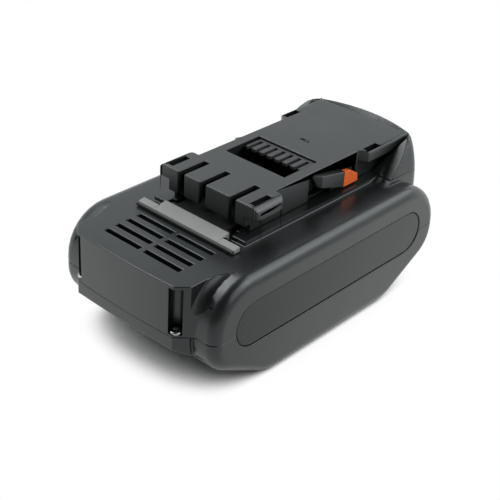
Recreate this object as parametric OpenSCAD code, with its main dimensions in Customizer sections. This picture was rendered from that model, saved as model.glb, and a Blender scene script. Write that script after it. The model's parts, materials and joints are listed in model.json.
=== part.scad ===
// Slide-on battery pack for cordless tools. Ten round cells lie across a two-part case.
// A lugged rail tower stands on the deck, with a contact comb in its window. A push bar in
// front of the tower draws in two side latches by slanted cam slots.
// Millimetres. X is the width, +Y points to the rear, Z = 0 is the flat bottom.

/* [Cells] */
// Diameter of one cell
cell_d = 18.4; // [18:0.1:18.8]
// Length of one cell
cell_l = 65.2; // [62:0.1:68]
// Space between neighbouring cells
cell_gap = 0.6; // [0.5:0.05:0.9]

/* [Case] */
// Thickness of the walls, floor and deck
wall = 2.3; // [2:0.1:2.8]
// Free space above the upper cells
head_room = 1.7; // [1.6:0.1:2.5]
// Free space before and behind the upper row of cells
end_gap = 3.6; // [3.4:0.1:4.5]
// Height of the parting line above the bottom
seam_z = 24.8; // [23:0.1:25.5]
// Length of the flat part of the bottom
bottom_len = 69.5; // [66:0.5:72]
// Slope of the slanted ends of the bottom, in degrees
bevel_angle = 28; // [26:0.5:30]
// Radius of the pods' front upper corners, seen from the side
front_r = 17.5; // [15:0.25:18]
// Radius of the pods' rear upper corners, seen from the side
rear_r = 20.5; // [17:0.25:21]
// Radius between the ends and their slants
chin_r = 13; // [9:0.25:13.5]
// Radius between the slants and the bottom
bottom_r = 15; // [10:0.5:17]
// Radius of the pods' long edges
edge_r = 4.2; // [3.5:0.1:5]

/* [Nose] */
// Width of the nose
nose_w = 54.8; // [52:0.2:58]
// How far the nose stands out in front of the pods
nose_out = 6; // [5:0.25:8]
// Radius of the nose's bowed front
nose_bow_r = 330; // [200:10:600]
// Size of the nose's slanted front corners
nose_cut = 4.8; // [4:0.1:6]
// Radius of the hollow between the nose and the pods
cove_r = 4.5; // [3:0.25:5]
// Radius of the screw channels in the nose's corners
channel_r = 2.7; // [2.4:0.1:2.8]

/* [Vents] */
// Number of vent rows
vent_rows = 4; // [2:1:4]
// Distance from row to row
vent_pitch = 5; // [4:0.1:5.2]
// Width of one vent slot
vent_w = 2; // [1.4:0.1:2.4]
// Distance over both columns of slots
vent_span = 36.2; // [30:0.2:40]
// Width of the bar between the columns
vent_bar = 1.9; // [1.5:0.1:4]

/* [Rail tower] */
// Height of the tower's top plate above the deck
rail_h = 13.5; // [13:0.1:15]
// Width of the tower
rail_w = 36.8; // [36:0.1:38]
// Thickness of the tower's top plate
plate_t = 2; // [1.8:0.1:2.4]
// Thickness of the tower's walls
rail_wall = 1.8; // [1.6:0.1:2]
// Height of the pedestal that the tower stands on
pedestal_h = 1.7; // [1.5:0.1:2]
// Width of the pedestal
pedestal_w = 44.4; // [44:0.1:48]
// Distance from the pods' front to the tower's front
rail_setback = 33.1; // [32:0.1:34]
// Thickness of the lugs
lug_t = 4.8; // [4.5:0.1:6]
// How far the front lugs stand out
front_lug_w = 5.6; // [5:0.1:6.5]
// Length of the front lugs
front_lug_len = 15; // [13:0.1:16]
// Radius of the front lugs' outer edge
lug_r = 3.5; // [2:0.1:4]
// How far the rear lugs stand out
rear_lug_w = 3.4; // [2.8:0.1:3.8]
// How far the tower's bowed rear block stands out behind the pods
block_out = 2.6; // [2:0.1:3]
// Width of the three slots at the tower's front
keyway_w = 2.8; // [2:0.1:3.2]
// Length of these slots
keyway_len = 13; // [11:0.1:14]

/* [Contacts] */
// Width of the contact window
window_w = 28.3; // [28:0.1:28.8]
// Length of the contact window
window_len = 18.3; // [17.5:0.1:18.6]
// Number of contact slots in the comb
contact_count = 7; // [5:1:7]
// Width of one contact slot
contact_w = 1.6; // [1.4:0.1:1.8]
// Length of the comb from front to rear
comb_len = 8.4; // [7.5:0.1:9]
// Thickness of the circuit board
board_t = 1.6; // [1.2:0.1:1.7]

/* [Release] */
// How far the push bar moves in
push_travel = 3.5; // [2.5:0.1:3.6]
// How far each latch moves in
latch_travel = 2.45; // [2:0.05:2.5]
// How far a latch stands out of the tower's side
latch_out = 3; // [2.6:0.1:3.2]
// How far a lock flag stands out of the tower's side
flag_out = 2.2; // [1.8:0.1:2.6]
// Width of the push bar
bar_w = 46.6; // [44:0.2:48]
// Thickness of the push bar's tongue
tongue_t = 1.6; // [1.4:0.1:1.7]
// Diameter of the latch pins
latch_pin_d = 3; // [2.5:0.1:3.2]

/* [Side panels] */
// Height of a side panel
panel_h = 16.8; // [14:0.1:18]
// Length of a side panel
panel_len = 103; // [90:0.5:106]
// Thickness of a side panel
panel_t = 0.9; // [0.5:0.05:0.9]

/* [Hidden] */
// Running clearance between pieces that move on each other
run_gap = 0.3;
// Clearance round a piece that is let into another
fit_gap = 0.2;
// Clearance of a cell in its holder
bore_gap = 0.1;
// Overshoot of cutting bodies
cut = 1;
inner_edge_r = 1.5;
edge_steps = 5;
arc_steps = 8;

// Cell rows
upper_count = 6;
lower_count = 4;
lip_t = 1.4;
lip_window_r = 7;
sheet_t = 0.4;
side_gap = 0.8;
pad_t = 0.8;
grip_l = 12;
holder_t = 0.7;
pitch = cell_d + cell_gap;
row_len = upper_count * pitch - cell_gap;

// Outer sizes that follow from the cells
half_w = cell_l / 2 + lip_t + sheet_t + side_gap + wall;
loaf_len = row_len + 2 * (end_gap + wall);
pack_len = loaf_len + nose_out + block_out;
rear_y = pack_len / 2 - block_out;
front_y = rear_y - loaf_len;
nose_y = -pack_len / 2;
row_y = (front_y + rear_y) / 2;
low_z = wall + pad_t + cell_d / 2;
high_z = low_z + pitch;
deck_z = high_z + cell_d / 2 + head_room + wall;
deck_under = deck_z - wall;
bevel_z = (loaf_len - bottom_len) / 2 * tan(bevel_angle);

// Side outline of the pods, anticlockwise, with a radius for each corner
outline = [
    [row_y - bottom_len / 2, 0],
    [row_y + bottom_len / 2, 0],
    [rear_y, bevel_z],
    [rear_y, deck_z],
    [front_y, deck_z],
    [front_y, bevel_z]
];
outline_r = [bottom_r, bottom_r, chin_r, rear_r, front_r, chin_r];
hollow_r = [bottom_r - 3, bottom_r - 3, chin_r - 3, rear_r - 4.2, front_r - 3.8, chin_r - 3];

// Nose
nose_lift = 2;
nose_under = bevel_z + nose_out * tan(bevel_angle) + nose_lift;
nose_back = front_y + front_r;
channel_x = nose_w / 2 - nose_cut + 0.3;
channel_y = nose_y + 3.1;
channel_boss_r = channel_r + 1.9;
channel_seat = seam_z + 0.9;
channel_cover = 1.3;

// Case screws
screw_d = 2.4;
screw_core_d = 2.1;
screw_head_r = 2.1;
screw_head_h = 0.9;
front_screw_l = 5;

// Hook lip that holds the upper case to the lower case at the rear
hook_w = 50;
hook_t = 1.1;
hook_h = 2.2;

// Tower
plate_z = deck_z + rail_h;
rail_x = rail_w / 2;
rail_in = rail_x - rail_wall;
rail_y = front_y + rail_setback;
rail_z = deck_z + pedestal_h;
rail_ceiling = plate_z - plate_t;
lug_under = plate_z - lug_t;
mouth_w = 28.8;
mouth_z = plate_z - 9;
rail_in_front = rail_y + rail_wall;
rail_in_rear = rear_y - 11.6;
front_lug_x = rail_x + front_lug_w;
rear_lug_x = rail_x + rear_lug_w;
core_w = 2.5;
core_in = 0.8;
lug_corner_r = 2;
lug_rear_r = 3.5;
lug_spacing = 61.7;
rear_lug_y = rail_y + lug_spacing;
mark_back = 9;
mark_r = 2.2;
keyways_x = [-12.25, -1.8, 12.25];

// Contact window and what stands in it
window_y = rail_y + 24.9;
window_end = window_y + window_len;
skirt_t = 1;
skirt_z = plate_z - 9;
block_w = window_w - 1.9;
block_y0 = window_y + run_gap;
block_y1 = window_end - run_gap;
comb_y0 = block_y1 - comb_len;
comb_z = plate_z - 0.8;
pit_z = plate_z - 9.4;
contact_back = 1.3;
contact_pitch = (block_w + contact_w) / (contact_count + 0.5);
clip_t = 0.35;
clip_h = 4;

// Circuit board
board_w = 28.4;
board_y0 = window_y - 6.4;
board_neck_w = 18.8;
board_z = deck_under - fit_gap;
board_top = board_z + board_t;
board_screw_d = 2;
board_screw_l = 5.6;
board_screw_head_r = 1.8;
board_screw_head_h = 1;
board_core_l = 5;
board_boss_r = 2.2;

// Screws between the deck and the tower
rail_screw_d = 2.6;
rail_boss_r = 2.6;
rail_screw_l = 9;
rail_screw_head_r = 2.2;
rail_screw_head_h = 1.2;
front_rail_screw = [rail_in - 1.2, rail_y + 6];

// Push bar and tongue
bar_y0 = rail_y - 11.1;
bar_y1 = rail_y - 4;
bar_end_y1 = rail_y - 7.2;
bar_z0 = deck_z + run_gap;
bar_front_z = deck_z + 1.5;
bar_rear_z = deck_z + 2.9;
bar_nib = 0.4;
side_front_y = bar_end_y1 + push_travel + run_gap + 0.1;
bar_mid_w = 31;
neck_w = mouth_w - 2 * run_gap - 0.2;
tongue_z1 = bar_z0 + tongue_t;
tongue_step_y = rail_y - 1.7;
tongue_w = 2 * (front_rail_screw.x - rail_boss_r - 2 * run_gap);
tongue_wide_w = 2 * (rail_in - run_gap - 0.1);
tongue_bar_y0 = front_rail_screw.y + rail_boss_r + 2;
tongue_bar_y1 = tongue_bar_y0 + 4.6;
arm_in = block_w / 2 + 0.6;
cam_y0 = block_y1 + 3.6;
cam_len = 16;
cam_y1 = cam_y0 + cam_len;
tab_w = 8;
tab_t = 1.6;
tab_z = bar_z0 + 7.2;

// Rear screws, behind the cam plate's travel, and the opening in the deck
rear_rail_screw = [rail_in - 2.3, cam_y1 + push_travel + run_gap + rail_boss_r + 0.1];
rail_screws_at = [for (s = [-1, 1], p = [front_rail_screw, rear_rail_screw]) [s * p.x, p.y]];
opening_back = 10;
opening_y0 = rail_y + opening_back;
opening_y1 = rear_rail_screw.y - rail_boss_r;
board_y1 = opening_y1 - 0.4;
board_y2 = rear_rail_screw.y + 3;
board_corners = [[board_w / 2 - 3.7, window_y - 2.4], [board_neck_w / 2 - 2.4, rear_rail_screw.y]];
board_screws_at = [for (s = [-1, 1], p = board_corners) [s * p.x, p.y]];

// Latches
latch_y0 = window_y + 10;
latch_y1 = latch_y0 + 15.6;
latch_front_z = plate_z - 1.3;
latch_rear_z = plate_z - 3.9;
latch_front_h = 4.6;
latch_rear_h = 6.3;
latch_in_x = rail_x - 0.4;
latch_x = rail_x + latch_out;
tail_y0 = cam_y0 - 0.4;
tail_y1 = tail_y0 + 14.4;
tail_z0 = tongue_z1 + run_gap;
tail_z1 = tail_z0 + 4.7;
tail_in_x = 5.5;
flag_y0 = latch_y1 + 1.3;
flag_y1 = flag_y0 + 8.7;
flag_h = 6.6;
flag_z0 = rail_z + 0.7;
flag_x0 = rail_x - 0.9;
flag_block_x = rail_x + 0.3;
flag_x = rail_x + flag_out;
pin_x = 10.5;
pin_y = tail_y0 + 7.8;
latch_hole_z1 = latch_front_z + run_gap;
latch_hole_x = latch_in_x - latch_travel - run_gap;

// Springs
wire_d = 0.6;
spring_d = 4.4;
spring_gap = 0.05;
spring_turns = 7;
release_spring_y0 = cam_y1;
release_spring_len = 11.5;
release_spring_z = bar_z0 + 4.4;
spring_seat_y = release_spring_y0 + release_spring_len;
latch_spring_y = tail_y0 + 4.2;
latch_spring_z = (tail_z0 + tail_z1) / 2;

// Rear block of the tower: a bowed rear over sides that swell down to a waist at the deck
block_rear = rear_y + block_out;
block_bow_r = 53;
block_top_x = rail_x + 3.9;
block_swell = 7;
block_waist_z = deck_z - 2.5;
block_edge_r = 1.2;
block_corner_r = 6;
block_steps = 8;
block_foot_z = deck_z - rear_r;
block_flush_z = block_foot_z + 6;

// Swept front of the rear block: a hollow arc, a straight slope and a round top
sweep_angle = 39;
sweep_low_r = 14;
sweep_len = 28.8;
sweep_sink = 0.3;
sweep_low = [rear_y - sweep_len, deck_z - sweep_sink + sweep_low_r];
sweep_top_r = 15.3;
sweep_top = [rear_y - 1, plate_z + sweep_sink - sweep_top_r];

// Side panels
panel_z = low_z + 14.2;
panel_y = row_y - 0.5;
panel_depth = panel_t + 0.03;
panel_gap = 0.4;
panel_shift = 0.3;

// Colours
black = [0.09, 0.09, 0.095];
charcoal = [0.14, 0.14, 0.145];
grey = [0.42, 0.42, 0.43];
orange = [1, 0.38, 0.1];
steel = [0.75, 0.75, 0.76];
nickel = [0.8, 0.78, 0.72];
wrap = [0.1, 0.45, 0.42];
board_green = [0.05, 0.3, 0.14];
paper = [0.75, 0.7, 0.55];
foam = [0.2, 0.2, 0.22];

function cell_name(i) = str("cell_", i < 9 ? "0" : "", i + 1);
CELL_NODES = [for (i = [0 : upper_count + lower_count - 1]) cell_name(i)];

// Helpers
function unit(v) = v / norm(v);

// Points of the arc that rounds corner p1 between its neighbours: the sides are moved in by
// inset, the corner's radius is r, and the edge rounding takes another d off it
function arc_at(p0, p1, p2, inset, r, d) =
    let (a = unit(p0 - p1), b = unit(p2 - p1), half = acos(a * b) / 2, reach = inset + r)
    let (c = p1 + unit(a + b) * reach / sin(half), s = p1 + a * reach / tan(half) - c)
    let (a0 = atan2(s.y, s.x), turn = 180 - 2 * half)
    bend(c, r - d, a0, a0 + turn);

// Points of an arc about c, from angle a0 to a1
function bend(c, r, a0, a1) =
    [for (i = [0 : arc_steps]) let (a = a0 + (a1 - a0) * i / arc_steps) c + r * [cos(a), sin(a)]];

// Side outline of the pods
function ring(inset, radii, d) =
    let (n = len(outline))
    [
        for (i = [0 : n - 1])
            each arc_at(outline[(i + n - 1) % n], outline[i], outline[(i + 1) % n], inset, radii[i], d)
    ];

// Half the rear block's width at height z
function block_half(z) =
    let (up = max(0, z - block_waist_z) / (plate_z - block_waist_z))
    block_top_x + block_swell * sqrt(max(0, 1 - up * up));

// Plan of the rear block at height z; its rear comes in line with the pods at the bottom
function block_ring(z) =
    let (x = block_half(z) - block_corner_r, edge_z = plate_z - block_edge_r)
    let (down = min(1, max(0, edge_z - z) / (edge_z - block_flush_z)), up = max(0, z - edge_z))
    let (inset = block_edge_r - sqrt(pow(block_edge_r, 2) - up * up))
    let (apex = block_rear - (block_out + 0.1) * down - inset, bow_r = block_bow_r / (1 - 0.8 * down))
    let (bow_y = apex - bow_r, y = bow_y + sqrt(pow(bow_r - block_corner_r, 2) - x * x))
    let (a = atan2(y - bow_y, x))
    let (corner = bend([x, y], block_corner_r, 0, a), bow = bend([0, bow_y], bow_r, a, 180 - a))
    [
        [x + block_corner_r, sweep_low.x - cut],
        each corner,
        for (i = [1 : arc_steps - 1]) bow[i],
        for (i = [arc_steps : -1 : 0]) [-corner[i].x, corner[i].y],
        [-x - block_corner_r, sweep_low.x - cut]
    ];

function cell_y(i) = i < upper_count
    ? row_y + (i - (upper_count - 1) / 2) * pitch
    : row_y + (i - upper_count - (lower_count - 1) / 2) * pitch;
function cell_z(i) = i < upper_count ? high_z : low_z;

// A box between two corners
module span(a, b) {
    translate(a) cube(b - a);
}

module both_sides() {
    children();
    mirror([1, 0, 0]) children();
}

// A side outline in Y and Z, drawn out along X
module along_x(x0, x1) {
    translate([x0, 0, 0]) rotate([90, 0, 90]) linear_extrude(x1 - x0) children();
}

module rod(at, z0, z1, r) {
    translate([at.x, at.y, z0]) cylinder(h = z1 - z0, r = r, $fn = 48);
}

// A flat slot with round ends
module capsule(a, b, r, h) {
    v = b - a;
    side = r * 0.98;
    for (p = [a, b]) translate(p) cylinder(h = h, r = r, $fn = 48);
    translate(a) rotate([0, 0, atan2(v.y, v.x)]) translate([0, -side, 0]) cube([norm(v), 2 * side, h]);
}

// A screw with its head upward, seated at z = 0
module screw(d, l, head_r, head_h) {
    slot_w = head_r * 0.36;
    difference() {
        union() {
            cylinder(h = head_h, r = head_r, $fn = 48);
            translate([0, 0, -l]) cylinder(h = l, r = d / 2, $fn = 32);
        }
        for (a = [0, 90]) rotate([0, 0, a])
            translate([-head_r * 0.65, -slot_w / 2, head_h * 0.45]) cube([head_r * 1.3, slot_w, head_h]);
    }
}

// A compression spring along Z, one tube of square-set rings
module coil(len, turns, d, wire) {
    sides = 6;
    per_turn = 12;
    n = turns * per_turn;
    r = (d - wire) / 2;
    rise = len - wire;
    pts = [
        for (i = [0 : n], k = [0 : sides - 1])
            let (a = 360 * i / per_turn, b = 360 * k / sides, q = r + wire / 2 * cos(b))
            [q * cos(a), q * sin(a), wire / 2 + rise * i / n + wire / 2 * sin(b)]
    ];
    skin = [
        for (i = [0 : n - 1], k = [0 : sides - 1])
            let (p = i * sides + k, q = i * sides + (k + 1) % sides)
            each [[p, q + sides, q], [p, p + sides, q + sides]]
    ];
    caps = [
        for (k = [1 : sides - 2])
            each [[0, k, k + 1], [n * sides, n * sides + k + 1, n * sides + k]]
    ];
    polyhedron(points = pts, faces = concat(skin, caps), convexity = 6);
}

// A body through equal rings of points; split cuts the quads that aren't flat into triangles
module loft(rings, split) {
    m = len(rings[0]);
    last = len(rings) - 1;
    skin = [
        for (i = [0 : last - 1], k = [0 : m - 1])
            let (p = i * m + k, q = i * m + (k + 1) % m)
            each (split ? [[p, p + m, q + m], [p, q + m, q]] : [[p, p + m, q + m, q]])
    ];
    caps = [[for (k = [0 : m - 1]) k], [for (k = [0 : m - 1]) last * m + m - 1 - k]];
    polyhedron(points = [for (r = rings) each r], faces = concat(skin, caps), convexity = 4);
}

// The pods' common body with rounded long edges, or its hollow at a given wall
module loaf(inset, radii, r) {
    bands = [
        for (side = [-1, 1], k = [0 : edge_steps])
            let (a = 90 * (side < 0 ? edge_steps - k : k) / edge_steps)
            [side * (half_w - inset - r * (1 - sin(a))), r * (1 - cos(a))]
    ];
    loft([for (band = bands) [for (p = ring(inset, radii, band[1])) [band[0], p.x, p.y]]], false);
}

// Plan of the nose: bowed front, slanted corners
module nose_plan() {
    intersection() {
        translate([0, nose_y + nose_bow_r]) circle(nose_bow_r, $fn = 256);
        polygon([
            [-nose_w / 2, nose_back], [-nose_w / 2, nose_y + nose_cut], [-nose_w / 2 + nose_cut, nose_y],
            [nose_w / 2 - nose_cut, nose_y], [nose_w / 2, nose_y + nose_cut], [nose_w / 2, nose_back]
        ]);
    }
}

// Everything in front of the pods ends at a slanted underside
module nose_range() {
    slant = (nose_back - nose_y) * tan(bevel_angle);
    along_x(-half_w, half_w) polygon([
        [nose_y - cut, nose_under + cut * tan(bevel_angle)], [nose_back + cut, nose_under - slant],
        [nose_back + cut, deck_z], [nose_y - cut, deck_z]
    ]);
}

module nose_block() {
    intersection() {
        linear_extrude(deck_z) nose_plan();
        nose_range();
    }
}

// Section of the hollow fillet between the nose's side and a pod's front
module cove_shape() {
    sink = 2.5;
    bite = 0.15;
    difference() {
        translate([-sink, -sink]) square(cove_r + sink - bite);
        translate([cove_r - bite, cove_r - bite]) circle(cove_r, $fn = 64);
    }
}

// Hollow fillet that leads from the nose's side into a pod's rounded front
module cove() {
    turn_z = deck_z - front_r;
    reach = half_w - nose_w / 2;
    intersection() {
        union() {
            translate([nose_w / 2, nose_back, turn_z]) rotate([0, 90, 0]) rotate([0, 0, 180])
                rotate_extrude(angle = 90, $fn = 96) translate([front_r, 0]) cove_shape();
            translate([nose_w / 2, front_y, 0]) mirror([0, 1, 0]) linear_extrude(turn_z) cove_shape();
        }
        nose_range();
        linear_extrude(deck_z) polygon([
            [nose_w / 2 - nose_cut, nose_y], [nose_w / 2, nose_y + nose_cut],
            [half_w, nose_y + nose_cut + reach], [half_w, nose_back + cut], [0, nose_back + cut], [0, nose_y]
        ]);
    }
}

module panel_shape(grow) {
    r = panel_h / 2;
    for (s = [-1, 1]) translate([panel_y + s * (panel_len / 2 - r), panel_z]) circle(r + grow, $fn = 64);
    translate([panel_y - panel_len / 2 + r, panel_z - r - grow]) square([panel_len - 2 * r, 2 * (r + grow)]);
}

module panel_recesses() {
    both_sides() along_x(half_w - panel_depth, half_w + cut)
        translate([panel_shift, -panel_shift]) panel_shape(panel_gap);
}

module case_outer() {
    loaf(0, outline_r, edge_r);
    nose_block();
}

// Space inside the case, less the screw bosses
module case_hollow() {
    nose_in = nose_w / 2 - wall;
    difference() {
        union() {
            loaf(wall, hollow_r, inner_edge_r);
            span([-nose_in, nose_y + wall, seam_z - cut], [nose_in, nose_back, deck_under]);
        }
        both_sides() {
            rod([channel_x, channel_y], -cut, plate_z, channel_boss_r);
            span([channel_x, nose_y, -cut], [nose_w, channel_y + channel_boss_r, plate_z]);
        }
    }
}

module vents() {
    slot_l = (vent_span - vent_bar) / 2;
    first = nose_y + 9.4;
    for (k = [0 : vent_rows - 1], s = [-1, 1])
        translate([s * (vent_bar + slot_l) / 2, first + k * vent_pitch, deck_under - cut])
            translate([-slot_l / 2, -vent_w / 2, 0]) cube([slot_l, vent_w, wall + 2 * cut]);
}

module pedestal() {
    difference() {
        span([-pedestal_w / 2, side_front_y, deck_z - cut], [pedestal_w / 2, rail_in_rear, rail_z]);
        span([-mouth_w / 2, side_front_y - cut, deck_z], [mouth_w / 2, opening_y0 + cut, rail_z + cut]);
        span([-bar_mid_w / 2 - 0.4, side_front_y - cut, deck_z],
            [bar_mid_w / 2 + 0.4, rail_y + 0.4, rail_z + cut]);
    }
}

module rear_hook() {
    y1 = rear_y - wall - fit_gap;
    span([-hook_w / 2, y1 - hook_t, seam_z - hook_h], [hook_w / 2, y1, seam_z + hook_h]);
    span([-hook_w / 2, y1 - hook_t, seam_z + fit_gap], [hook_w / 2, rear_y - 1, seam_z + hook_h]);
}

module upper_case() {
    color(black) difference() {
        union() {
            difference() {
                intersection() {
                    union() {
                        case_outer();
                        both_sides() cove();
                        rear_block();
                    }
                    span([-half_w - cut, nose_y - cut, seam_z], [half_w + cut, block_rear + cut, rail_z]);
                }
                case_hollow();
            }
            pedestal();
            rear_hook();
        }
        vents();
        panel_recesses();
        span([-rail_in, opening_y0, deck_under - cut], [rail_in, opening_y1, plate_z]);
        span([-board_neck_w / 2 - 0.6, opening_y0, deck_under - cut],
            [board_neck_w / 2 + 0.6, board_y2 + 0.6, plate_z]);
        for (p = rail_screws_at) rod(p, deck_under - cut, rail_z + cut, rail_screw_d / 2 + fit_gap);
        both_sides() {
            rod([channel_x, channel_y], channel_seat, deck_z - channel_cover, channel_r);
            rod([channel_x, channel_y], seam_z - cut, channel_seat + cut, screw_d / 2 + fit_gap);
        }
    }
}

module lower_case() {
    color(black) difference() {
        intersection() {
            case_outer();
            span([-half_w - cut, nose_y - cut, -cut], [half_w + cut, rear_y + cut, seam_z]);
        }
        case_hollow();
        panel_recesses();
        both_sides()
            rod([channel_x, channel_y], channel_seat - front_screw_l - 0.5, seam_z + cut, screw_core_d / 2);
    }
}

// Front lug with its rounded outer edge, rounded corners and core hole
module front_lug() {
    x0 = rail_x - 1;
    y1 = rail_y + front_lug_len;
    x1 = front_lug_x + cut / 2;
    front = bend([front_lug_x - lug_corner_r, rail_y + lug_corner_r], lug_corner_r, -80, -10);
    rear = bend([front_lug_x - lug_rear_r, y1 - lug_rear_r], lug_rear_r, 10, 90);
    difference() {
        intersection() {
            translate([0, y1, 0]) rotate([90, 0, 0]) linear_extrude(front_lug_len) polygon(concat(
                [[x0, plate_z], [x0, lug_under], [front_lug_x, lug_under]],
                bend([front_lug_x - lug_r, plate_z - lug_r], lug_r, 0, 90)
            ));
            linear_extrude(plate_z) polygon(concat(
                [[x0, y1], [x0, rail_y - cut], [front[0].x, rail_y - cut]],
                front, [[x1, front[arc_steps].y], [x1, rear[0].y]], rear
            ));
        }
        span([rail_x - core_in, rail_y + 1.9, lug_under - cut],
            [rail_x + core_w, rail_y + 10.7, plate_z + cut]);
    }
}

// Rear lug with its rounded outer edge, slanted front end and core hole
module rear_lug() {
    y0 = rear_lug_y;
    y1 = rear_y - 3;
    x0 = rail_x - 1;
    r = 1.5;
    core_y0 = y0 + 2.7;
    difference() {
        translate([0, y1, 0]) rotate([90, 0, 0]) linear_extrude(y1 - y0) polygon(concat(
            [[x0, plate_z], [x0, lug_under], [rear_lug_x, lug_under]],
            bend([rear_lug_x - r, plate_z - r], r, 0, 90)
        ));
        translate([rail_x, y0, lug_under - cut]) rotate([0, 0, 40])
            translate([-8, -8, 0]) cube([16, 8, lug_t + 2 * cut]);
        span([rail_x - core_in / 2, core_y0, lug_under - cut],
            [rail_x + core_w, core_y0 + 7.7, plate_z + cut]);
    }
}

// Rear block with its swept front, and the foot by which it runs down the pods' rear
module rear_block() {
    rise = plate_z - block_waist_z;
    levels = concat(
        [block_foot_z, block_flush_z, (block_flush_z + block_waist_z) / 2],
        [for (k = [0 : block_steps]) block_waist_z + rise * sin(90 * k / block_steps)]
    );
    intersection() {
        loft([for (z = levels) [for (p = block_ring(z)) [p.x, p.y, z]]], true);
        along_x(-half_w, half_w) polygon(concat(
            [[sweep_low.x, deck_under], [rear_y - wall, block_foot_z]],
            [[block_rear + cut, block_foot_z], [block_rear + cut, plate_z + sweep_sink]],
            bend(sweep_top, sweep_top_r, 90, 90 + sweep_angle),
            bend(sweep_low, sweep_low_r, sweep_angle - 90, -90)
        ));
    }
}

module rail_tower() {
    color(charcoal) difference() {
        union() {
            difference() {
                union() {
                    span([-rail_x, rail_y, rail_z], [rail_x, rear_y - 3.4, plate_z]);
                    intersection() {
                        rear_block();
                        span([-half_w, 0, rail_z], [half_w, block_rear + cut, plate_z + cut]);
                    }
                }
                span([-rail_in, rail_in_front, rail_z - cut], [rail_in, rail_in_rear, rail_ceiling]);
            }
            both_sides() {
                front_lug();
                rear_lug();
            }
            span([-window_w / 2 - skirt_t, window_y - skirt_t, skirt_z],
                [window_w / 2 + skirt_t, window_end + skirt_t, plate_z]);
            for (p = rail_screws_at) rod(p, rail_z, rail_ceiling + 0.5, rail_boss_r);
            for (p = board_screws_at) rod(p, board_top, rail_ceiling + 0.5, board_boss_r);
            span([-tab_w / 2, spring_seat_y, rail_z + 0.8],
                [tab_w / 2, spring_seat_y + rail_wall, rail_ceiling + 0.5]);
        }
        span([-window_w / 2, window_y, 0], [window_w / 2, window_end, plate_z + cut]);
        span([-rail_x - cut, rail_y - cut, 0], [rail_x + cut, rail_in_front + cut, mouth_z]);
        for (x = keyways_x)
            span([x - keyway_w / 2, rail_y - cut, mouth_z - cut],
                [x + keyway_w / 2, rail_y + keyway_len, plate_z + cut]);
        both_sides() span([latch_hole_x, latch_y0 - 0.8, rail_z - cut],
            [rail_x + cut, flag_y1 + 0.6, latch_hole_z1]);
        for (p = rail_screws_at) rod(p, 0, deck_under + rail_screw_l + 0.5, rail_screw_d / 2 - 0.2);
        for (p = board_screws_at) rod(p, 0, board_top + board_core_l, board_screw_d / 2 - 0.2);
        translate([-0.4, window_end + mark_back, plate_z]) difference() {
            cylinder(h = 1, r = mark_r, center = true, $fn = 48);
            span([-mark_r - cut, -mark_r - cut, -1], [mark_r + cut, 0.6, 1]);
        }
    }
}

// Push bar with its sloping top, tongue, side arms and cam plate
module release_slide() {
    color(grey) difference() {
        union() {
            along_x(-bar_w / 2, bar_w / 2) polygon([
                [bar_y0, bar_z0], [bar_end_y1, bar_z0], [bar_end_y1, bar_front_z + 0.65],
                [bar_y0 + bar_nib, bar_front_z], [bar_y0, bar_front_z - bar_nib]
            ]);
            along_x(-bar_mid_w / 2, bar_mid_w / 2) polygon([
                [bar_y0 + bar_nib, bar_z0], [bar_y1, bar_z0],
                [bar_y1, bar_rear_z], [bar_y0 + bar_nib, bar_front_z]
            ]);
            span([-neck_w / 2, bar_y1 - cut, bar_z0], [neck_w / 2, tongue_step_y, tongue_z1]);
            span([-tongue_w / 2, tongue_step_y - cut, bar_z0],
                [tongue_w / 2, tongue_bar_y0 + cut, tongue_z1]);
            span([-tongue_wide_w / 2, tongue_bar_y0, bar_z0], [tongue_wide_w / 2, cam_y1, tongue_z1]);
            span([-tab_w / 2, cam_y1 - tab_t, bar_z0], [tab_w / 2, cam_y1, tab_z]);
        }
        span([-arm_in, tongue_bar_y1, bar_z0 - cut], [arm_in, cam_y0, tongue_z1 + cut]);
        both_sides() capsule(
            [pin_x, pin_y, bar_z0 - cut], [pin_x - latch_travel, pin_y - push_travel, bar_z0 - cut],
            latch_pin_d / 2 + run_gap, tongue_t + 2 * cut
        );
    }
}

module release_spring() {
    color(steel) translate([0, release_spring_y0 + spring_gap, release_spring_z]) rotate([-90, 0, 0])
        coil(release_spring_len - 2 * spring_gap, spring_turns, spring_d, wire_d);
}

module latch_spring() {
    color(steel) translate([-tail_in_x + spring_gap, latch_spring_y, latch_spring_z]) rotate([0, 90, 0])
        coil(2 * (tail_in_x - spring_gap), spring_turns, spring_d, wire_d);
}

// Right latch: slanting outer block, tail inside the tower, cam pin
module latch_pawl() {
    nose_run = 2.8;
    difference() {
        union() {
            along_x(latch_in_x, latch_x) polygon([
                [latch_y0, latch_front_z - 0.6], [latch_y0 + 1, latch_front_z], [latch_y1, latch_rear_z],
                [latch_y1, latch_rear_z - latch_rear_h], [latch_y0 + 1.6, latch_front_z - latch_front_h]
            ]);
            span([tail_in_x, tail_y0, tail_z0], [latch_in_x + cut, latch_y1, tail_z1]);
            span([tail_in_x, latch_y1 - cut, tail_z0], [flag_x0, tail_y1, tail_z1]);
            rod([pin_x, pin_y], bar_z0, tail_z0 + cut, latch_pin_d / 2);
        }
        translate([latch_x, latch_y0 + nose_run, 0]) rotate([0, 0, -atan2(latch_out - 0.3, nose_run)])
            translate([0, -2 * nose_run, 0]) cube([2 * latch_out, 2 * nose_run, plate_z]);
    }
}

module latch_pawl_right() {
    color(black) latch_pawl();
}

module latch_pawl_left() {
    color(black) mirror([1, 0, 0]) latch_pawl();
}

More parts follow.
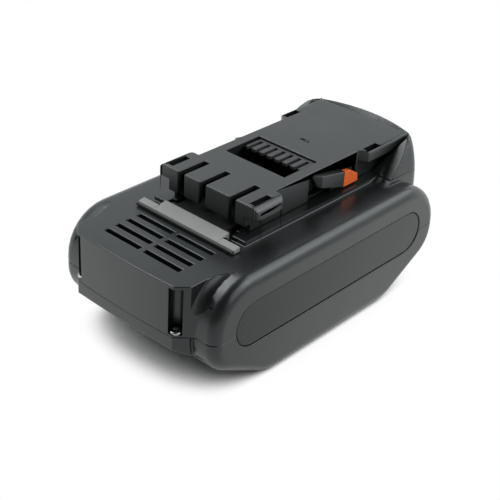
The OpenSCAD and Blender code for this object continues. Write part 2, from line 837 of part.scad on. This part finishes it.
// Right lock flag: a sloping block at the tower's side and a low stem from the latch's tail
module lock_flag() {
    color(orange) union() {
        along_x(flag_block_x, flag_x) polygon([
            [flag_y0, flag_z0], [flag_y1, flag_z0], [flag_y1 - 0.6, flag_z0 + 3.3],
            [flag_y0 + 3.1, flag_z0 + flag_h - 0.4], [flag_y0, flag_z0 + flag_h]
        ]);
        span([flag_x0, flag_y0, flag_z0 + 0.2], [flag_block_x + cut, flag_y1 - 1.2, flag_z0 + 3]);
    }
}

module lock_flag_right() {
    lock_flag();
}

module lock_flag_left() {
    mirror([1, 0, 0]) lock_flag();
}

// Places of the contact slots along X
function contact_x(i) = (i - (contact_count - 1) / 2) * contact_pitch;

module terminal_block() {
    color(grey) difference() {
        union() {
            span([-block_w / 2, comb_y0, board_top], [block_w / 2, block_y1, comb_z]);
            span([-block_w / 2, block_y0, board_top], [block_w / 2, comb_y0 + cut, pit_z]);
        }
        for (i = [0 : contact_count - 1])
            span([contact_x(i) - contact_w / 2, comb_y0 - cut, pit_z],
                [contact_x(i) + contact_w / 2, block_y1 - contact_back, comb_z + cut]);
    }
}

// Folded contact clips, two blades and a foot in each slot
module terminal_clips() {
    blade_y0 = comb_y0 + 1;
    blade_y1 = block_y1 - contact_back - 0.5;
    inner = contact_w / 2 - 0.05;
    color(nickel) for (i = [0 : contact_count - 1]) translate([contact_x(i), 0, 0]) {
        span([-inner, blade_y0, pit_z + 0.05], [inner, blade_y1, pit_z + 0.05 + clip_t]);
        for (s = [0, 1]) mirror([s, 0, 0])
            span([inner - clip_t, blade_y0, pit_z + 0.05], [inner, blade_y1, pit_z + clip_h]);
    }
}

module circuit_board() {
    chip_h = 0.7;
    color(board_green) difference() {
        union() {
            span([-board_w / 2, board_y0, board_z], [board_w / 2, board_y1, board_top]);
            span([-board_neck_w / 2, board_y0, board_z], [board_neck_w / 2, board_y2, board_top]);
            for (x = [-8, 0, 8])
                span([x - 2.6, block_y1 + 4, board_top - 0.1], [x + 2.6, block_y1 + 10, board_top + chip_h]);
            span([-4, block_y1 + 14, board_top - 0.1], [4, block_y1 + 21, board_top + chip_h]);
        }
        for (p = board_screws_at) rod(p, board_z - cut, board_top + cut, board_screw_d / 2 + fit_gap / 2);
    }
}

module board_screws() {
    color(steel) for (p = board_screws_at) translate([p.x, p.y, board_z]) mirror([0, 0, 1])
        screw(board_screw_d - 0.4, board_screw_l, board_screw_head_r, board_screw_head_h);
}

module rail_screws() {
    color(steel) for (p = rail_screws_at) translate([p.x, p.y, deck_under]) mirror([0, 0, 1])
        screw(rail_screw_d - 0.4, rail_screw_l, rail_screw_head_r, rail_screw_head_h);
}

module case_screws() {
    color(steel) both_sides() translate([channel_x, channel_y, channel_seat])
        screw(screw_core_d, front_screw_l, screw_head_r, screw_head_h);
}

// One cell along X with its crimped neck and end cap
module cell(i) {
    r = cell_d / 2;
    flip = floor((i < upper_count ? i : i - upper_count + 2) / 2) % 2 == 0;
    cap_h = 0.3;
    color(wrap) translate([0, cell_y(i), cell_z(i)]) mirror([flip ? 1 : 0, 0, 0]) rotate([0, 90, 0])
        translate([0, 0, -cell_l / 2]) rotate_extrude($fn = 96) polygon([
            [0, 0], [r - 0.5, 0], [r, 0.5], [r, cell_l - 4], [r - 0.6, cell_l - 3.4], [r, cell_l - 2.8],
            [r, cell_l - cap_h - 0.6], [r - 0.6, cell_l - cap_h],
            [4, cell_l - cap_h], [3.6, cell_l], [0, cell_l]
        ]);
}

module holder_shape(t) {
    r = cell_d / 2 + t;
    for (i = [0 : upper_count + lower_count - 1]) translate([cell_y(i), cell_z(i)]) circle(r, $fn = 96);
    translate([cell_y(0), high_z - r / 2]) square([cell_y(upper_count - 1) - cell_y(0), r]);
    translate([cell_y(upper_count), low_z]) square([(lower_count - 1) * pitch, pitch]);
    translate([cell_y(upper_count), low_z - r / 2]) square([(lower_count - 1) * pitch, r]);
}

// Strip runs as pairs of cell numbers, front to rear, for each side
left_runs = [[[0, 1], [1, 6], [6, 7]], [[2, 3], [3, 8], [8, 9]], [[4, 5]]];
right_runs = [[[0, 1]], [[6, 7], [7, 2], [2, 3]], [[8, 9], [9, 4], [4, 5]]];
strip_w = 7;
strip_t = 0.25;
bus_x = 20;

module run_shape(run, grow) {
    w = strip_w / 2 + grow;
    for (link = run) {
        y0 = min(cell_y(link[0]), cell_y(link[1]));
        y1 = max(cell_y(link[0]), cell_y(link[1]));
        z0 = min(cell_z(link[0]), cell_z(link[1]));
        z1 = max(cell_z(link[0]), cell_z(link[1]));
        translate([y0 - w, z0 - w]) square([y1 - y0 + 2 * w, z1 - z0 + 2 * w]);
    }
}

// Holder on the right side: bores, end lip with windows, slots for the strips
module cell_holder(runs, tab_cell) {
    x1 = cell_l / 2;
    difference() {
        along_x(x1 - grip_l, x1 + lip_t) holder_shape(holder_t);
        along_x(x1 - grip_l - cut, x1) for (i = [0 : upper_count + lower_count - 1])
            translate([cell_y(i), cell_z(i)]) circle(cell_d / 2 + bore_gap, $fn = 96);
        along_x(x1 - cut, x1 + lip_t + cut) {
            for (i = [0 : upper_count + lower_count - 1])
                translate([cell_y(i), cell_z(i)]) circle(lip_window_r, $fn = 64);
            for (run = runs) run_shape(run, fit_gap);
            translate([cell_y(tab_cell) - strip_w / 2 - fit_gap, high_z])
                square([strip_w + 2 * fit_gap, pitch]);
        }
    }
}

module cell_holder_right() {
    color(charcoal) cell_holder(right_runs, 1);
}

module cell_holder_left() {
    color(charcoal) mirror([1, 0, 0]) cell_holder(left_runs, 4);
}

// Strips on the right side; one end run has a tab that folds over and leads to the board
module nickel_strips(runs, tab_cell) {
    x0 = cell_l / 2;
    w = strip_w / 2;
    y = cell_y(tab_cell);
    y_board = max(y, board_y0 + w + 0.5);
    color(nickel) {
        for (run = runs) along_x(x0, x0 + strip_t) run_shape(run, 0);
        span([x0, y - w, high_z], [x0 + strip_t, y + w, board_z]);
        span([bus_x, y - w, board_z - strip_t], [x0 + strip_t, y + w, board_z]);
        span([bus_x, y - w, board_z - strip_t], [bus_x + strip_w, y_board + w, board_z]);
        span([board_w / 2 - 1.5, y_board - w, board_z - strip_t], [bus_x + strip_w, y_board + w, board_z]);
    }
}

module nickel_strips_right() {
    nickel_strips(right_runs, 1);
}

module nickel_strips_left() {
    mirror([1, 0, 0]) nickel_strips(left_runs, 4);
}

module insulator() {
    x0 = cell_l / 2 + lip_t;
    color(paper) along_x(x0, x0 + sheet_t) holder_shape(0);
}

module insulator_right() {
    insulator();
}

module insulator_left() {
    mirror([1, 0, 0]) insulator();
}

module side_panel() {
    x0 = half_w - panel_depth;
    color(charcoal) along_x(x0, x0 + panel_t) panel_shape(0);
}

module side_panel_right() {
    side_panel();
}

module side_panel_left() {
    mirror([1, 0, 0]) side_panel();
}

module floor_pads() {
    pad_w = 30;
    pad_l = 10;
    color(foam) for (i = [1, lower_count - 2]) {
        y = cell_y(upper_count + i);
        span([-pad_w / 2, y - pad_l / 2, wall], [pad_w / 2, y + pad_l / 2, wall + pad_t - bore_gap]);
    }
}

// Bead in the valley between two upper cells, with leads up to the board
module temperature_sensor() {
    bead_r = 1.2;
    lead_r = 0.3;
    bead_l = 6;
    rise = sqrt(pow(cell_d / 2 + bead_r + bore_gap, 2) - pow(pitch / 2, 2));
    color(black) translate([0, row_y, high_z + rise]) rotate([0, 90, 0])
        cylinder(h = bead_l, r = bead_r, center = true, $fn = 32);
    color(nickel) for (s = [-1, 1]) rod([s * bead_l / 4, row_y], high_z + rise, board_z, lead_r);
}

upper_case();
lower_case();
rail_tower();
release_slide();
release_spring();
latch_pawl_left();
latch_pawl_right();
lock_flag_left();
lock_flag_right();
latch_spring();
terminal_block();
terminal_clips();
circuit_board();
board_screws();
rail_screws();
case_screws();
cell_holder_left();
cell_holder_right();
nickel_strips_left();
nickel_strips_right();
insulator_left();
insulator_right();
side_panel_left();
side_panel_right();
floor_pads();
temperature_sensor();
for (i = [0 : upper_count + lower_count - 1]) cell(i);
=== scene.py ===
import json
import math

import bpy
from mathutils import Matrix, Vector


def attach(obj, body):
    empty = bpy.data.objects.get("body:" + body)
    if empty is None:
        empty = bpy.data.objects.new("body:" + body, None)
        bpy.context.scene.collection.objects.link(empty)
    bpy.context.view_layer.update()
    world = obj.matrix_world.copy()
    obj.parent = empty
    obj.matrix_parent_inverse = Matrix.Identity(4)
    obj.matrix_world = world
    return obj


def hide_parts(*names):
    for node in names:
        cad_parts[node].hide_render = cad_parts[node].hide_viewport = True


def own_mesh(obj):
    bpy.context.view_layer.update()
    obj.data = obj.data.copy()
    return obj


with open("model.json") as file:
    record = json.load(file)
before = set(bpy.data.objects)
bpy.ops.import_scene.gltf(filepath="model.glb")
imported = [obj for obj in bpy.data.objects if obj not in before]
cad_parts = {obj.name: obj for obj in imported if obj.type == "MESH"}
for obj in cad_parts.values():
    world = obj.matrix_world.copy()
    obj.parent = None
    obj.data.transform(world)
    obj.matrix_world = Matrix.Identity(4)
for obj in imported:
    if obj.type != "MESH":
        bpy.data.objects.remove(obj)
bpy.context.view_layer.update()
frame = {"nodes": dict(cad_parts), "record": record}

MM = 0.001
nodes = frame["nodes"]
scene = bpy.context.scene


# Steps of a shader


def add(tree, kind, **values):
    """A new shader node, with values for its inputs or its own settings."""
    node = tree.nodes.new(kind)
    for key, value in values.items():
        if key in node.inputs:
            node.inputs[key].default_value = value
        else:
            setattr(node, key, value)
    return node


def remap(tree, value, old, new, kind="LINEAR"):
    """A value's range, old, laid on another one, new."""
    node = add(tree, "ShaderNodeMapRange", interpolation_type=kind)
    for key, limit in zip(("From Min", "From Max", "To Min", "To Max"), (*old, *new)):
        node.inputs[key].default_value = limit
    tree.links.new(value, node.inputs["Value"])
    return node.outputs["Result"]


def along(tree, point, direction):
    """How far a point lies along a direction."""
    node = add(tree, "ShaderNodeVectorMath", operation="DOT_PRODUCT")
    node.inputs[1].default_value = direction
    tree.links.new(point, node.inputs[0])
    return node.outputs["Value"]


def combine(tree, operation, first, second):
    """One arithmetic step on two values."""
    node = add(tree, "ShaderNodeMath", operation=operation)
    tree.links.new(first, node.inputs[0])
    tree.links.new(second, node.inputs[1])
    return node.outputs["Value"]


# Materials

# The share of a cloudy noise's range that most of a surface shows
CLOUD = (0.3, 0.7)
GLOSS_SPREAD = 0.04
GRAIN_DEPTH = 0.2 * MM
SHINE_TINT = (0.93, 1, 1, 1)
# Open share of the space round a point, from a recess to a free face, and the gloss left in a recess, where
# the lost gloss is painted shade
OPENNESS = (0.45, 0.92)
PAINTED_SHADE_SPECULAR = 0.1


def plastic(name, color, rough, grain, grain_scale, spread=0.12, specular=0.5, painted_shade_reach=0.0):
    """Moulded plastic: uneven colour and gloss, a fine spark-eroded grain, and painted shade in recesses,
    where the gloss fades.
    """
    mat = bpy.data.materials.new(name)
    mat.use_nodes = True
    tree = mat.node_tree
    tree.nodes.clear()
    link = tree.links.new
    out = add(tree, "ShaderNodeOutputMaterial")
    bsdf = add(tree, "ShaderNodeBsdfPrincipled", Roughness=rough)
    bsdf.inputs["Base Color"].default_value = (*color, 1)
    bsdf.inputs["Specular IOR Level"].default_value = specular
    bsdf.inputs["Specular Tint"].default_value = SHINE_TINT
    link(bsdf.outputs["BSDF"], out.inputs["Surface"])

    coord = add(tree, "ShaderNodeTexCoord")
    cloud = add(tree, "ShaderNodeTexNoise", Scale=60.0, Detail=4.0, Roughness=0.6)
    fine = add(tree, "ShaderNodeTexNoise", Scale=grain_scale, Detail=2.0, Roughness=0.5)
    for noise in (cloud, fine):
        link(coord.outputs["Object"], noise.inputs["Vector"])

    tint = add(tree, "ShaderNodeVectorMath", operation="SCALE")
    tint.inputs[0].default_value = color
    link(remap(tree, cloud.outputs["Fac"], CLOUD, (1 - spread, 1 + spread)), tint.inputs["Scale"])
    link(tint.outputs["Vector"], bsdf.inputs["Base Color"])
    gloss = remap(tree, cloud.outputs["Fac"], CLOUD, (rough - GLOSS_SPREAD, rough + GLOSS_SPREAD))
    link(gloss, bsdf.inputs["Roughness"])
    # Painted shade: the gloss fades where ambient occlusion finds a recess
    if painted_shade_reach > 0:
        depth = add(tree, "ShaderNodeAmbientOcclusion", Distance=painted_shade_reach, samples=8)
        shine = remap(tree, depth.outputs["AO"], OPENNESS, (PAINTED_SHADE_SPECULAR, specular))
        link(shine, bsdf.inputs["Specular IOR Level"])
    bump = add(tree, "ShaderNodeBump", Strength=grain, Distance=GRAIN_DEPTH)
    link(fine.outputs["Fac"], bump.inputs["Height"])
    link(bump.outputs["Normal"], bsdf.inputs["Normal"])
    return mat


def metal(name, color, rough):
    """Plated metal with faint rolling marks."""
    mat = plastic(name, color, rough, grain=0.1, grain_scale=1500, spread=0.06)
    mat.node_tree.nodes["Principled BSDF"].inputs["Metallic"].default_value = 1.0
    return mat


def band_with_painted_shade(mat, y, half, shade_color):
    """Only a band across the pack keeps the material's colour; the rest takes a dark colour as painted
    shade.
    """
    tree = mat.node_tree
    link = tree.links.new
    color = tree.nodes["Principled BSDF"].inputs["Base Color"]
    place = add(tree, "ShaderNodeSeparateXYZ")
    inside = add(tree, "ShaderNodeMath", operation="COMPARE")
    inside.inputs[1].default_value = y
    inside.inputs[2].default_value = half
    choice = add(tree, "ShaderNodeMix", data_type="RGBA")
    share, outer, inner = [socket for socket in choice.inputs if socket.enabled]
    chosen = next(socket for socket in choice.outputs if socket.enabled)
    # Painted shade outside the band
    outer.default_value = (*shade_color, 1)
    link(tree.nodes["Texture Coordinate"].outputs["Object"], place.inputs["Vector"])
    link(place.outputs["Y"], inside.inputs[0])
    link(inside.outputs["Value"], share)
    link(color.links[0].from_socket, inner)
    link(chosen, color)


PLASTICS = {
    "case_black": dict(
        color=(0.0088, 0.0098, 0.0104), rough=0.31, grain=0.05, grain_scale=1400, specular=0.85
    ),
    # The tower's recesses lose gloss as painted shade
    "tower_black": dict(
        color=(0.015, 0.0163, 0.0168), rough=0.42, grain=0.3, grain_scale=1600, specular=1.0, painted_shade_reach=12 * MM
    ),
    "slide_grey": dict(color=(0.315, 0.315, 0.309), rough=0.42, grain=0.2, grain_scale=1600),
    "block_grey": dict(color=(0.052, 0.054, 0.055), rough=0.45, grain=0.15, grain_scale=1600),
    "panel_black": dict(color=(0.01, 0.0107, 0.0112), rough=0.24, grain=0.08, grain_scale=1800),
    "flag_orange": dict(color=(0.98, 0.17, 0.025), rough=0.38, grain=0.05, grain_scale=1500, spread=0.06),
    "board_green": dict(color=(0.01, 0.09, 0.035), rough=0.35, grain=0.1, grain_scale=1500),
    "holder_grey": dict(color=(0.03, 0.03, 0.032), rough=0.5, grain=0.15, grain_scale=1500),
    "sheet_tan": dict(color=(0.4, 0.33, 0.2), rough=0.8, grain=0.3, grain_scale=2500),
    "foam": dict(color=(0.03, 0.03, 0.032), rough=0.9, grain=0.5, grain_scale=3000),
    "cell_wrap": dict(color=(0.02, 0.2, 0.19), rough=0.3, grain=0.05, grain_scale=1200),
}
METALS = {
    "steel": dict(color=(0.5, 0.5, 0.51), rough=0.3),
    "nickel": dict(color=(0.66, 0.63, 0.57), rough=0.28),
    # The clips are painted dark metal as painted shade inside the comb
    "clip_painted_shade": dict(color=(0.12, 0.115, 0.105), rough=0.55),
}
materials = {name: plastic(name, **look) for name, look in PLASTICS.items()}
materials.update({name: metal(name, **look) for name, look in METALS.items()})

# The slope of the bar keeps its pale grey; its lip and the tongue behind it are painted dark as painted
# shade
BAR_Y, BAR_HALF = -34.8 * MM, 3.1 * MM
TONGUE_PAINTED_SHADE = (0.02, 0.021, 0.022)
band_with_painted_shade(materials["slide_grey"], BAR_Y, BAR_HALF, TONGUE_PAINTED_SHADE)

slot_of = {s["node"]: s["material_slot"] for s in frame["record"]["subparts"]}
# The terminal clips take the dark metal, painted shade
slot_of["terminal_clips"] = "clip_painted_shade"


# Springs

# Each spring is shown by its own copy of the mesh, tied to the housing in place of the CAD piece. The rows
# give the release spring's rear seat and the latch spring's middle as the planes they shorten towards.
# Each row: the coil's axis, a point of the plane it shortens towards, the share of its length that is left
coils = {
    "release_spring": ((0, 1, 0), (0, 46.2 * MM, 49.2 * MM), 0.69),
    "latch_spring": ((1, 0, 0), (0, -22.5 * MM, 49 * MM), 0.54),
}
shown = dict(nodes)
for name, (axis, anchor, keep) in coils.items():
    coil = bpy.data.objects.new(name + "_coil", nodes[name].data.copy())
    scene.collection.objects.link(coil)
    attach(coil, "housing")
    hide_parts(name)
    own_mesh(coil)
    shown[name] = coil


# Finish of every piece, with the moulded pieces' edges softened

WELD = 0.004 * MM
FLAT_ANGLE = math.radians(0.6)
EDGE_ANGLE = math.radians(32)
soft_edge = {
    "upper_case": 0.35 * MM,
    "lower_case": 0.35 * MM,
    "rail_tower": 0.45 * MM,
    "release_slide": 0.2 * MM,
    "latch_pawl_left": 0.25 * MM,
    "latch_pawl_right": 0.25 * MM,
    "lock_flag_left": 0.25 * MM,
    "lock_flag_right": 0.25 * MM,
    "terminal_block": 0.12 * MM,
    "side_panel_left": 0.25 * MM,
    "side_panel_right": 0.25 * MM,
}


def soften(obj, width):
    """Joins flat faces, rounds the sharp edges and keeps the flat faces flat in shading."""
    flat = obj.modifiers.new("flat", "DECIMATE")
    flat.decimate_type = "DISSOLVE"
    flat.angle_limit = FLAT_ANGLE
    edge = obj.modifiers.new("edge", "BEVEL")
    edge.width = width
    edge.segments = 3
    edge.use_clamp_overlap = False
    edge.limit_method = "ANGLE"
    edge.angle_limit = EDGE_ANGLE
    weight = obj.modifiers.new("weight", "WEIGHTED_NORMAL")
    weight.keep_sharp = True


for name, obj in shown.items():
    obj.data.materials.clear()
    obj.data.materials.append(materials[slot_of[name]])
    obj.data.polygons.foreach_set("use_smooth", [True] * len(obj.data.polygons))
    obj.modifiers.new("weld", "WELD").merge_threshold = WELD
    if name in soft_edge:
        soften(obj, soft_edge[name])


# Camera, matched to the photograph

azimuth, elevation, roll = math.radians(40.401), math.radians(31.179), math.radians(3.725)
target = Vector((0, -2.92721, 58.015)) * MM
distance, off_x, off_y = 402.13593 * MM, 1.68215 * MM, 31.00208 * MM
back = Vector((
    math.sin(azimuth) * math.cos(elevation),
    -math.cos(azimuth) * math.cos(elevation),
    math.sin(elevation),
))
level = Vector((math.cos(azimuth), math.sin(azimuth), 0))
rise = back.cross(level)
right = level * math.cos(roll) + rise * math.sin(roll)
up = rise * math.cos(roll) - level * math.sin(roll)
eye = target + back * distance - right * off_x - up * off_y
camera = bpy.data.objects.new("camera", bpy.data.cameras.new("camera"))
scene.collection.objects.link(camera)
camera.matrix_world = Matrix.Translation(eye) @ Matrix((right, up, back)).transposed().to_4x4()
camera.data.lens = 80.85
camera.data.sensor_width = 36
camera.data.clip_start = 0.01
scene.camera = camera


# Floor: white, with the object's shadow partly painted in by ambient occlusion, and in reflections dimmer
# on the viewer's side as a painted reflection

FLOOR_SIZE = 6
FLOOR_GREY = (0.6, 0.6, 0.6, 1)
SHADOW_REACH = 40 * MM
# Open share of the space above the floor, from full painted shadow to white
SHADOW_OPENNESS = (0.2, 0.53)
FLOOR_BRIGHT_SIDE = (-0.85, 0.53, 0)
# Places along that direction, from the dim end of the floor's painted reflection to the white one
FLOOR_FADE = (-115 * MM, -5 * MM)
FLOOR_DIM = 0.15


def white_floor(mat):
    """Camera, glossy and transmission rays see a white floor; near the pack the white gives way by ambient
    occlusion, a painted shadow, to the lit grey floor with its real shadow.
    """
    tree = mat.node_tree
    link = tree.links.new
    bsdf = tree.nodes["Principled BSDF"]
    bsdf.inputs["Base Color"].default_value = FLOOR_GREY
    bsdf.inputs["Roughness"].default_value = 0.9
    white = add(tree, "ShaderNodeEmission", Strength=1.0)
    ray = add(tree, "ShaderNodeLightPath").outputs
    # Painted shadow: ambient occlusion fades the white near the pack, over the lit floor's real shadow
    space = add(tree, "ShaderNodeAmbientOcclusion", Distance=SHADOW_REACH, samples=16)
    outside_painted_shadow = remap(tree, space.outputs["AO"], SHADOW_OPENNESS, (0, 1), "SMOOTHSTEP")
    # Painted reflection: glossy rays see the floor dimmer towards the viewer's side
    place = along(tree, add(tree, "ShaderNodeTexCoord").outputs["Object"], FLOOR_BRIGHT_SIDE)
    painted_reflection = remap(tree, place, FLOOR_FADE, (FLOOR_DIM, 1), "SMOOTHSTEP")
    glossy = combine(tree, "MULTIPLY", ray["Is Glossy Ray"], painted_reflection)
    seen = combine(tree, "MAXIMUM", ray["Is Camera Ray"], glossy)
    seen = combine(tree, "MAXIMUM", seen, ray["Is Transmission Ray"])
    mix = add(tree, "ShaderNodeMixShader")
    link(combine(tree, "MULTIPLY", seen, outside_painted_shadow), mix.inputs["Fac"])
    link(bsdf.outputs["BSDF"], mix.inputs[1])
    link(white.outputs["Emission"], mix.inputs[2])
    link(mix.outputs["Shader"], tree.nodes["Material Output"].inputs["Surface"])


bpy.ops.mesh.primitive_plane_add(size=FLOOR_SIZE, location=(0, 0, 0))
floor = bpy.context.object
floor.name = "floor"
floor_mat = bpy.data.materials.new("floor")
floor_mat.use_nodes = True
white_floor(floor_mat)
floor.data.materials.append(floor_mat)


# World: a white wall round the far side, and a dim ceiling above it

WALL_WHITE = (0.95, 0.99, 1, 1)
CEILING_DIM = (0.1, 0.105, 0.108, 1)
# Heights of a direction's tip, from the wall's top edge to the ceiling
WALL_TOP, CEILING = 0.45, 0.64
WALL_BRIGHT_SIDE = (-0.648, 0.761, 0)
WALL_FADE = (-0.45, 0.4)
WALL_DIM = 0.1

world = bpy.data.worlds.new("world")
scene.world = world
world.use_nodes = True
sky = world.node_tree
background = sky.nodes["Background"]
direction = add(sky, "ShaderNodeTexCoord").outputs["Generated"]
split = add(sky, "ShaderNodeSeparateXYZ")
wall = add(sky, "ShaderNodeValToRGB")
wall.color_ramp.interpolation = "EASE"
lower, upper = wall.color_ramp.elements
lower.position, lower.color = WALL_TOP, WALL_WHITE
upper.position, upper.color = CEILING, CEILING_DIM
side = remap(sky, along(sky, direction, WALL_BRIGHT_SIDE), WALL_FADE, (WALL_DIM, 1), "SMOOTHSTEP")
sky.links.new(direction, split.inputs["Vector"])
sky.links.new(split.outputs["Z"], wall.inputs["Fac"])
sky.links.new(wall.outputs["Color"], background.inputs["Color"])
sky.links.new(side, background.inputs["Strength"])


# Lamps, in metres and watts

AIM = Vector((0, 0, 30 * MM))


def softbox(name, place, power, width, height):
    """A rectangular lamp that faces the pack."""
    data = bpy.data.lights.new(name, "AREA")
    data.energy = power
    data.shape = "RECTANGLE"
    data.size, data.size_y = width, height
    lamp = bpy.data.objects.new(name, data)
    scene.collection.objects.link(lamp)
    lamp.location = place
    lamp.rotation_euler = (AIM - Vector(place)).to_track_quat("-Z", "Y").to_euler()


softbox("key_right", (0.42, 0.62, 0.74), 3.8, 1.0, 0.6)
softbox("fill_right", (0.85, 0.22, 0.65), 3.8, 1.0, 0.9)
softbox("key_left", (-0.5, -0.05, 0.87), 4.2, 0.8, 0.35)
softbox("edge", (-0.56, -0.52, 0.65), 0.9, 0.25, 0.25)

scene.view_settings.view_transform = "Standard"
